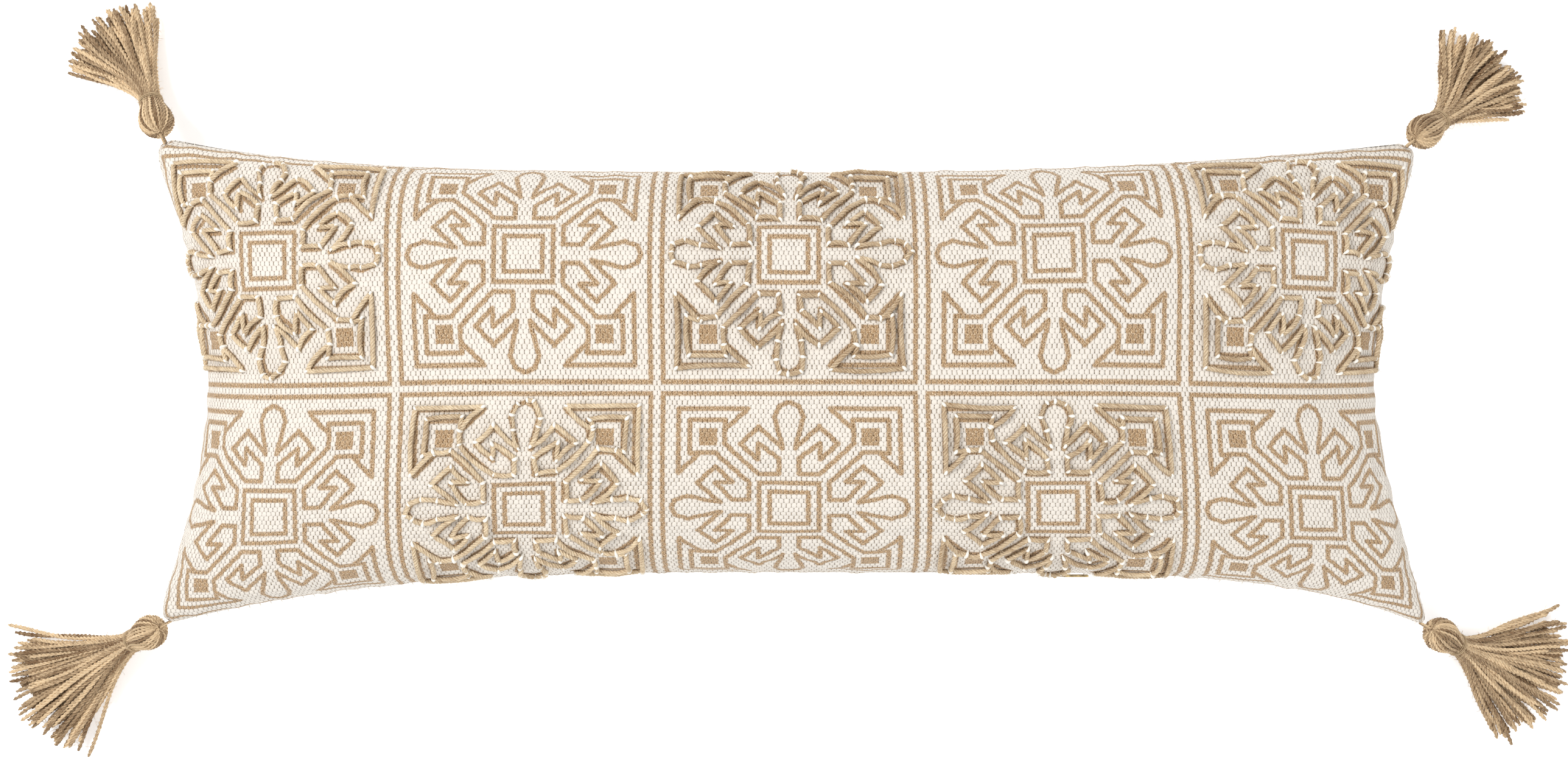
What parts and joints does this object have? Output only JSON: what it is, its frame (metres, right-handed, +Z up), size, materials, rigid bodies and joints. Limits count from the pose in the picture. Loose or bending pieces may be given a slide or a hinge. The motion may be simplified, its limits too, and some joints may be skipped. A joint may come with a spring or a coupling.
{
  "type": "throw pillow",
  "caption": "Oblong lumbar throw pillow with a chunky woven cover, medallion tiles with couched yarn, a concealed edge zip and a tassel at each corner.",
  "frame": {"origin": "centre of the flat patch on the back that the pillow rests on", "axes": "+Z up through the decorated front, +X along the pillow, +Y away from the zipped edge"},
  "size_m": [1.1781, 0.5799, 0.1366],
  "materials": {
    "cover_fabric": "matte",
    "sewing_thread": "matte",
    "ticking": "matte",
    "fibre_fill": "matte",
    "jute_yarn": "matte",
    "tie_thread": "matte",
    "zip_tape": "matte",
    "zip_coil": "satin",
    "zip_metal": "satin",
    "tassel_yarn": "matte",
    "binding_thread": "matte"
  },
  "bodies": {
    "pillow": {"cover_front": "cover_fabric", "cover_back": "cover_fabric", "cover_seam_thread": "sewing_thread", "insert_front": "ticking", "insert_back": "ticking", "insert_seam_thread": "sewing_thread", "insert_fill": "fibre_fill", "couched_yarn_1": "jute_yarn", "couched_yarn_2": "jute_yarn", "couched_yarn_3": "jute_yarn", "couched_yarn_4": "jute_yarn", "couched_yarn_5": "jute_yarn", "tie_stitches_1": "tie_thread", "tie_stitches_2": "tie_thread", "tie_stitches_3": "tie_thread", "tie_stitches_4": "tie_thread", "tie_stitches_5": "tie_thread", "zip_tape_upper": "zip_tape", "zip_tape_lower": "zip_tape", "zip_coil_upper": "zip_coil", "zip_coil_lower": "zip_coil", "zip_stitching_upper": "sewing_thread", "zip_stitching_lower": "sewing_thread", "zip_stop_closed": "zip_metal", "zip_stop_open": "zip_metal", "corner_eye_top_left": "sewing_thread", "corner_eye_top_right": "sewing_thread", "corner_eye_bottom_left": "sewing_thread", "corner_eye_bottom_right": "sewing_thread"},
    "slider": {"zip_slider": "zip_metal"},
    "pull": {"zip_pull": "zip_metal"},
    "swivel_top_left": {"tassel_loop_top_left": "tassel_yarn"},
    "tassel_top_left": {"tassel_head_top_left": "tassel_yarn", "tassel_binding_top_left": "binding_thread", "tassel_skirt_top_left": "tassel_yarn"},
    "swivel_top_right": {"tassel_loop_top_right": "tassel_yarn"},
    "tassel_top_right": {"tassel_head_top_right": "tassel_yarn", "tassel_binding_top_right": "binding_thread", "tassel_skirt_top_right": "tassel_yarn"},
    "swivel_bottom_left": {"tassel_loop_bottom_left": "tassel_yarn"},
    "tassel_bottom_left": {"tassel_head_bottom_left": "tassel_yarn", "tassel_binding_bottom_left": "binding_thread", "tassel_skirt_bottom_left": "tassel_yarn"},
    "swivel_bottom_right": {"tassel_loop_bottom_right": "tassel_yarn"},
    "tassel_bottom_right": {"tassel_head_bottom_right": "tassel_yarn", "tassel_binding_bottom_right": "binding_thread", "tassel_skirt_bottom_right": "tassel_yarn"}
  },
  "joints": [
    {"name": "zip_slide", "type": "slide", "parent": "pillow", "child": "slider", "axis": [-1, 0, 0], "range_m": [0, 0.375]},
    {"name": "zip_pull_flip", "type": "hinge", "parent": "slider", "child": "pull", "pos_m": [0.189, -0.13678, 0.05199], "axis": [0, 0, -1], "range_deg": [0, 170]},
    {"name": "tassel_swing_top_left", "type": "hinge", "parent": "pillow", "child": "swivel_top_left", "pos_m": [-0.45061, 0.17894, 0.042], "axis": [0, 0, 1], "range_deg": [-55, 55]},
    {"name": "tassel_lift_top_left", "type": "hinge", "parent": "swivel_top_left", "child": "tassel_top_left", "pos_m": [-0.45187, 0.18166, 0.042], "axis": [0.9063, 0.4226, 0], "range_deg": [-2, 90]},
    {"name": "tassel_swing_top_right", "type": "hinge", "parent": "pillow", "child": "swivel_top_right", "pos_m": [0.44891, 0.17444, 0.042], "axis": [0, 0, 1], "range_deg": [-55, 55]},
    {"name": "tassel_lift_top_right", "type": "hinge", "parent": "swivel_top_right", "child": "tassel_top_right", "pos_m": [0.45121, 0.17637, 0.042], "axis": [0.6428, -0.766, 0], "range_deg": [-2, 90]},
    {"name": "tassel_swing_bottom_left", "type": "hinge", "parent": "pillow", "child": "swivel_bottom_left", "pos_m": [-0.45086, -0.17478, 0.042], "axis": [0, 0, 1], "range_deg": [-55, 55]},
    {"name": "tassel_lift_bottom_left", "type": "hinge", "parent": "swivel_bottom_left", "child": "tassel_bottom_left", "pos_m": [-0.4535, -0.17619, 0.042], "axis": [-0.4695, 0.8829, 0], "range_deg": [-2, 90]},
    {"name": "tassel_swing_bottom_right", "type": "hinge", "parent": "pillow", "child": "swivel_bottom_right", "pos_m": [0.46032, -0.17634, 0.042], "axis": [0, 0, 1], "range_deg": [-55, 55]},
    {"name": "tassel_lift_bottom_right", "type": "hinge", "parent": "swivel_bottom_right", "child": "tassel_bottom_right", "pos_m": [0.46295, -0.1778, 0.042], "axis": [-0.4848, -0.8746, 0], "range_deg": [-2, 90]}
  ]
}
